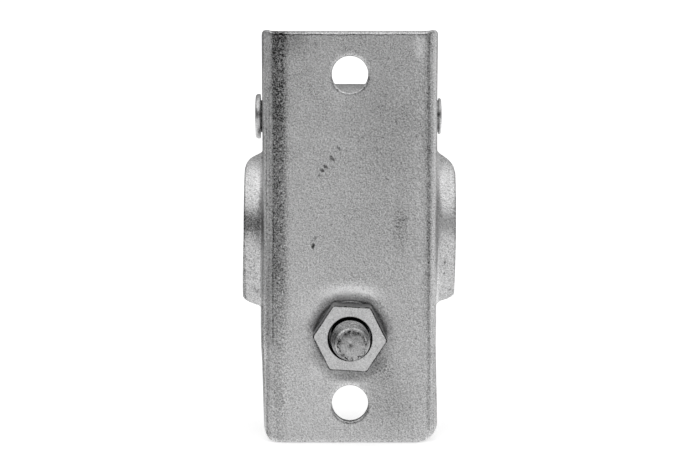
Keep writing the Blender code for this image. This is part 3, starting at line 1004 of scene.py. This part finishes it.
def sheet_details(graph, place, shade, height, rough):
    """Bends stretched by the press, with painted shade on them and the flanks, draw lines along them,
    patches of painted light, painted shade and tone, a painted shadow line under the top edge, rub
    marks on the back.
    """
    x, y, z = graph.split(place)
    across = graph.math("ABSOLUTE", x)
    outside = graph.step(y, -30.0 * MM, -27.5 * MM, 1.0, 0.0)

    coarse = graph.noise(place, 0.55 * MM, 3.0, 0.7)
    mottle = graph.step(coarse, 0.44, 0.70, -0.30, 0.85)
    # Painted shade on the two bends, over their mottling
    left_bend_shade_and_mottle, right_bend_shade_and_mottle, bend = bend_painted_shade(graph, x, z, mottle, outside)
    shade = graph.add(graph.add(shade, left_bend_shade_and_mottle), right_bend_shade_and_mottle)
    specks = graph.step(graph.noise(place, 0.6 * MM, 1.0), 0.70, 0.78, 0.0, 0.7)
    shade = graph.add(shade, graph.mul(specks, graph.add(graph.mul(bend, 0.8), 0.15)))
    height = graph.add(height, graph.mul(graph.mul(coarse, bend), 1.2))

    flank = graph.mul(graph.step(across, 26.4 * MM, 27.4 * MM), outside)
    lines = graph.noise(graph.stretch(place, LINE_STRETCH), 1.0)
    shade = graph.add(shade, graph.mul(graph.step(lines, 0.35, 0.65, -0.20, 0.14), flank))
    # Painted shade on the flanks
    shade = graph.add(shade, graph.mul(flank, flank_painted_shade(graph, x, z)))
    height = graph.add(height, graph.mul(graph.mul(lines, flank), 1.2))

    waver = graph.noise(graph.stretch(place, WAVER_STRETCH), 1.0)
    line_x = graph.add(x, graph.mul(graph.add(waver, -0.5), 1.0 * MM))
    for middle, half, low, high, gain in STREAKS:
        streak = graph.window(line_x, (middle - half) * MM, (middle + half) * MM, 0.7 * half * MM)
        streak = graph.mul(streak, graph.window(z, low * MM, high * MM, 3 * MM))
        shade = graph.add(shade, graph.mul(graph.mul(streak, outside), gain))
    # Painted shadow line under the rolled top edge
    rim_shadow_line = graph.window(z, RIM_Z - 0.35 * MM, RIM_Z - 0.05 * MM, 0.15 * MM)
    rim_shadow_line = graph.mul(rim_shadow_line, graph.step(across, 25.5 * MM, 26.5 * MM, 1.0, 0.0))
    shade = graph.add(shade, graph.mul(rim_shadow_line, -0.45))

    # Patches of painted light and shade, and of tone, from the table
    for cloud_x, cloud_y, cloud_z, wide, deep, tall, soft, gain in LIGHT_AND_TONE_PATCHES:
        centre = (cloud_x * MM, cloud_y * MM, cloud_z * MM)
        cloud = graph.spot(place, centre, (wide * MM, deep * MM, tall * MM), 0.0, soft)
        shade = graph.add(shade, graph.mul(cloud, gain))
    wing = graph.spot(place, WING_AT, WING_RADII, 0.0, 0.3)
    shade = graph.add(shade, graph.mul(wing, graph.mul(mottle, 0.9)))
    shade = graph.add(shade, graph.mul(graph.step(across, 35.7 * MM, 36.1 * MM), -0.4))

    marks = rub_marks(graph, place)
    shade = graph.add(shade, graph.mul(marks, -0.95))
    rough = graph.add(rough, graph.mul(marks, 0.2))
    patches = [graph.spot(place, centre, radii, 0.0, soft) for centre, radii, soft in PATCHES]
    patch = graph.math("MAXIMUM", *patches)
    shade = graph.add(shade, graph.mul(patch, graph.step(coarse, 0.38, 0.62, -0.42, 0.05)))
    return shade, height, rough


def from_axis(graph, place):
    """Distance from the bolt's axis."""
    offset = graph.stretch(place, (1.0, 0.0, 1.0), location=(0.0, 0.0, -BOLT_Z))
    return graph.node("ShaderNodeVectorMath", {0: offset}, operation="LENGTH").outputs["Value"]


def bolt_details(graph, place, shade, height, rough):
    """Painted shade in the thread's roots, in ragged pits round the rim of the bolt's spread end, and
    in its nick.
    """
    depth = graph.split(place)[1]
    behind = graph.mul(
        graph.step(depth, BOLT_TIP_Y + 0.8 * MM, BOLT_TIP_Y + 2.5 * MM),
        graph.step(depth, THREAD_END_Y - 4 * MM, THREAD_END_Y - 1 * MM, 1.0, 0.0),
    )
    # Painted shade, deepest in the thread's roots
    root = graph.step(from_axis(graph, place), 6.0 * MM, 6.9 * MM, -0.55, -0.1)
    shade = graph.add(shade, graph.mul(root, behind))
    centre = (TIP_SHIFT[0], BOLT_TIP_Y, BOLT_Z + TIP_SHIFT[1])
    disc = graph.spot(place, centre, (5.3 * MM, 1.2 * MM, 5.3 * MM), 0.0, 0.9)
    core = graph.spot(place, centre, (4.5 * MM, 1.6 * MM, 4.5 * MM), 0.0, 0.8)
    ring = graph.mul(disc, graph.math("SUBTRACT", 1.0, core, clamp=True))
    # Painted shade in ragged pits round the rim and in the nick
    ragged = graph.step(graph.noise(place, 1.1 * MM, 3.0, 0.75), 0.48, 0.55)
    pit_shade = graph.mul(ring, ragged)
    nick = (centre[0] - 0.6 * MM, BOLT_TIP_Y, centre[2] + 0.2 * MM)
    middle = graph.spot(place, nick, (0.4 * MM, 1.5 * MM, 0.75 * MM), -0.4, 0.2)
    pit_shade = graph.math("MAXIMUM", pit_shade, graph.mul(middle, 0.8))
    tip = graph.step(depth, BOLT_TIP_Y + 0.2 * MM, BOLT_TIP_Y + 0.9 * MM, -0.22, 0.0)
    shade = graph.add(graph.add(shade, tip), graph.mul(pit_shade, -0.68))
    return shade, height, rough


def nut_details(graph, place, shade, height, rough):
    """Painted shade on the sides and edges, and in the bore."""
    normal = graph.node("ShaderNodeTexCoord").outputs["Normal"]
    facing = graph.math("ABSOLUTE", graph.split(normal)[1])
    # Painted shade on the flats and on the bevelled edges
    shade = graph.add(shade, graph.step(facing, 0.30, 0.50, -0.5, 0.0))
    shade = graph.add(shade, graph.mul(graph.window(facing, 0.5, 0.87, 0.05), -0.85))
    # Painted shade in the bore and its countersink
    bore = graph.step(from_axis(graph, place), 7.5 * MM, 7.75 * MM, -0.75, 0.0)
    return graph.add(shade, bore), height, rough


def rivet_details(graph, place, shade, height, rough):
    """Painted shade in the neck under the heads, darker on the left."""
    x = graph.split(place)[0]
    # Painted shade in the gap under each head, stronger on the left
    neck = graph.step(graph.math("ABSOLUTE", x), 31.0 * MM, 31.3 * MM, -0.9, 0.0)
    side = graph.step(x, -1 * MM, 1 * MM, 1.0, 0.5)
    return graph.add(shade, graph.mul(neck, side)), height, rough


def paint(obj, body, node, material):
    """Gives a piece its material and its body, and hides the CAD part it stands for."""
    obj.data.materials.clear()
    obj.data.materials.append(material)
    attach(obj, body)
    if node:
        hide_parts(node)


# ---------------------------------------------------------------- set, light, camera


def make_floor():
    """White floor under the part."""
    bm = bmesh.new()
    bmesh.ops.create_circle(bm, cap_ends=True, segments=64, radius=FLOOR_R)
    floor = new_object("studio_floor", bm)
    floor.location.z = CAD_BOX[0][2] - FLOOR_GAP
    material = bpy.data.materials.new("pale_floor")
    material.use_nodes = True
    shader = material.node_tree.nodes["Principled BSDF"]
    shader.inputs["Base Color"].default_value = (0.93, 0.93, 0.93, 1.0)
    shader.inputs["Roughness"].default_value = 0.9
    shader.inputs["Specular IOR Level"].default_value = 0.1
    shader.inputs["Emission Color"].default_value = (1.0, 1.0, 1.0, 1.0)
    shader.inputs["Emission Strength"].default_value = FLOOR_GLOW
    floor.data.materials.append(material)
    floor.visible_glossy = False


def make_world():
    """Studio of soft panels, white where the camera sees it directly."""
    world = bpy.data.worlds.new("studio")
    bpy.context.scene.world = world
    world.use_nodes = True
    tree = world.node_tree
    tree.nodes.clear()
    graph = Graph(tree)
    direction = graph.node("ShaderNodeTexCoord").outputs["Generated"]
    x, y, z = graph.split(direction)
    azimuth = graph.math("ARCTAN2", x, graph.mul(y, -1.0))
    azimuth = graph.mul(azimuth, 180 / math.pi)
    elevation = graph.mul(graph.math("ARCSINE", z), 180 / math.pi)
    light = None
    for low, high, under, over, soft, gain in PANELS:
        panel = graph.window(azimuth, low, high, soft)
        panel = graph.mul(panel, graph.window(elevation, under, over, soft))
        panel = graph.mul(panel, gain)
        light = panel if light is None else graph.add(light, panel)
    light = graph.math("MAXIMUM", graph.add(light, ROOM), DARKEST)
    seen = graph.node("ShaderNodeLightPath").outputs["Is Camera Ray"]
    level = graph.node("ShaderNodeMix", {0: seen, 2: light, 3: BACKDROP}).outputs[0]
    background = graph.node(
        "ShaderNodeBackground", {"Color": (1.0, 1.0, 1.0, 1.0), "Strength": level}
    )
    graph.node("ShaderNodeOutputWorld", {"Surface": background.outputs[0]})


def make_camera():
    """Long lens, a little above the flat back."""
    target = Vector(CAMERA_TARGET)
    elevation = math.radians(CAMERA_ELEVATION)
    data = bpy.data.cameras.new("camera")
    data.lens = CAMERA_LENS
    data.clip_start = 0.01
    camera = bpy.data.objects.new("camera", data)
    bpy.context.scene.collection.objects.link(camera)
    away = Vector((0.0, -math.cos(elevation), math.sin(elevation)))
    camera.location = target + CAMERA_DISTANCE * away
    camera.rotation_euler = away.to_track_quat("Z", "Y").to_euler()
    bpy.context.scene.camera = camera


def main():
    paint(make_body(), "body", "channel_body", zinc("zinc_sheet", sheet_details))
    paint(make_cap(), "cap", "hinged_cap", zinc("zinc_strip"))
    paint(make_rivet(), "body", "hinge_rivet", zinc("zinc_rivet", rivet_details))
    bolt_finish = zinc("zinc_bolt", bolt_details)
    shank, head = make_bolt()
    paint(shank, "bolt", "tee_bolt", bolt_finish)
    paint(head, "bolt", None, bolt_finish)
    paint(make_washer(), "washer", "seat_washer", zinc("zinc_washer"))
    paint(make_nut(), "nut", "bolt_nut", zinc("zinc_nut", nut_details))
    make_floor()
    make_world()
    make_camera()
    bpy.context.scene.view_settings.view_transform = "Standard"


main()
